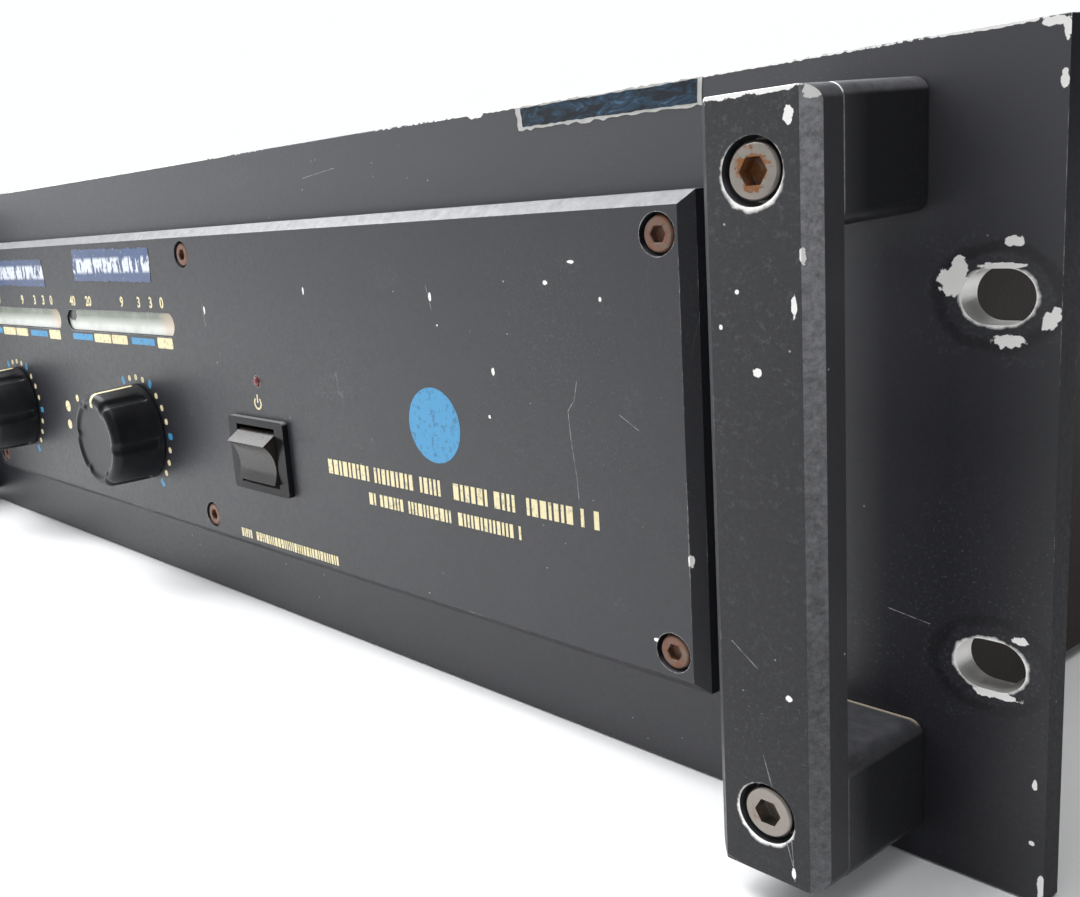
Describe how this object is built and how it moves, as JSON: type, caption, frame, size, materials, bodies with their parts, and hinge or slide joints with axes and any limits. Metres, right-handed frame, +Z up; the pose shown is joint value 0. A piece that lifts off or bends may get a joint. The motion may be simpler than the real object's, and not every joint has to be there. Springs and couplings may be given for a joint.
{
  "type": "rack power amplifier",
  "caption": "Rack-mount audio power amplifier with a thick front panel, bar handles, level knobs, slot meters, a rocker switch and a fan-cooled chassis.",
  "frame": {"origin": "centre of the rack-slot pattern, on the back face of the front panel, which rests on the rack rails", "axes": "+X to the right seen from the front, +Y back into the rack, +Z up; the front faces -Y"},
  "size_m": [0.4826, 0.3543, 0.1324],
  "materials": {
    "panel": "black anodised, fine grain, worn bright at the edges",
    "fascia": "black anodised with cream and blue print",
    "handle": "black anodised, worn through at the edges",
    "screw_dark": "black oxide gone brown with rust",
    "screw_steel": "dull plated steel",
    "knob": "glossy black",
    "shaft": "turned",
    "pot": "zinc plated",
    "window": "milky translucent strip",
    "led_bar": "diffused segments",
    "board": "green circuit board",
    "switch_black": "moulded black",
    "rocker": "polished by fingers",
    "lamp": "red diffused",
    "chassis": "black powder coat",
    "heat_sink": "brownish black anodised extrusion",
    "transistor": "nickel plated",
    "fan_black": "moulded black",
    "guard_wire": "bright plated wire",
    "winding": "varnished tape over copper",
    "plated_steel": "yellow zinc",
    "capacitor": "blue sleeve",
    "rectifier": "moulded epoxy",
    "connector": "moulded black",
    "xlr": "black zinc die casting",
    "post_metal": "turned brass",
    "post_red": "red",
    "post_black": "black",
    "breaker_red": "red"
  },
  "bodies": {
    "amplifier": {"front_panel": "panel", "fascia_plate": "fascia", "fascia_screws": "screw_dark", "panel_screws": "screw_steel", "grip_right": "handle", "grip_left": "handle", "upper_leg_right": "handle", "lower_leg_right": "handle", "upper_leg_left": "handle", "lower_leg_left": "handle", "handle_screws": "screw_steel", "handle_nuts": "screw_steel", "level_pot_a": "pot", "level_pot_b": "pot", "pot_nuts": "screw_steel", "meter_window_a": "window", "meter_window_b": "window", "led_bar_a": "led_bar", "led_bar_b": "led_bar", "meter_board": "board", "switch_housing": "switch_black", "power_led": "lamp", "chassis_base": "chassis", "top_cover": "chassis", "rear_panel": "chassis", "cover_screws": "screw_steel", "rear_screws": "screw_steel", "heat_sink_right": "heat_sink", "heat_sink_left": "heat_sink", "output_transistors_right": "transistor", "output_transistors_left": "transistor", "amp_board_right": "board", "amp_board_left": "board", "fan_frame": "fan_black", "fan_guard": "guard_wire", "fan_screws": "screw_steel", "transformer": "winding", "transformer_plate": "plated_steel", "transformer_bolt": "screw_steel", "filter_capacitors": "capacitor", "rectifiers": "rectifier", "input_board": "board", "xlr_input_left": "xlr", "xlr_input_right": "xlr", "binding_posts": "post_metal", "mains_inlet": "connector", "breaker_body": "connector"},
    "knob_a": {"level_knob_a": "knob", "level_shaft_a": "shaft"},
    "knob_b": {"level_knob_b": "knob", "level_shaft_b": "shaft"},
    "rocker": {"power_rocker": "rocker"},
    "fan": {"fan_rotor": "fan_black"},
    "breaker": {"breaker_button": "breaker_red"},
    "cap_1": {"post_cap_1": "post_red"},
    "cap_2": {"post_cap_2": "post_black"},
    "cap_3": {"post_cap_3": "post_red"},
    "cap_4": {"post_cap_4": "post_black"}
  },
  "joints": [
    {"name": "level_a_turn", "type": "hinge", "parent": "amplifier", "child": "knob_a", "pos_m": [-0.041, -0.018, -0.0175], "axis": [0, 1, 0], "range_deg": [-156, 144]},
    {"name": "level_b_turn", "type": "hinge", "parent": "amplifier", "child": "knob_b", "pos_m": [-0.146, -0.018, -0.0175], "axis": [0, 1, 0], "range_deg": [-156, 144]},
    {"name": "power_rocker_tilt", "type": "hinge", "parent": "amplifier", "child": "rocker", "pos_m": [0.0334, -0.007, -0.017], "axis": [1, 0, 0], "range_deg": [-24, 0]},
    {"name": "fan_spin", "type": "hinge", "parent": "amplifier", "child": "fan", "pos_m": [0, 0.2868, 0], "axis": [0, 1, 0], "continuous": true},
    {"name": "breaker_trip", "type": "slide", "parent": "amplifier", "child": "breaker", "axis": [0, 1, 0], "range_m": [0, 0.004]},
    {"name": "post_cap_1_turn", "type": "hinge", "parent": "amplifier", "child": "cap_1", "pos_m": [-0.11353, 0.31, 0.027], "axis": [0, 1, 0], "range_deg": [0, 720]},
    {"name": "post_cap_2_turn", "type": "hinge", "parent": "amplifier", "child": "cap_2", "pos_m": [-0.09448, 0.31, 0.027], "axis": [0, 1, 0], "range_deg": [0, 720]},
    {"name": "post_cap_3_turn", "type": "hinge", "parent": "amplifier", "child": "cap_3", "pos_m": [-0.11353, 0.31, -0.027], "axis": [0, 1, 0], "range_deg": [0, 720]},
    {"name": "post_cap_4_turn", "type": "hinge", "parent": "amplifier", "child": "cap_4", "pos_m": [-0.09448, 0.31, -0.027], "axis": [0, 1, 0], "range_deg": [0, 720]}
  ]
}
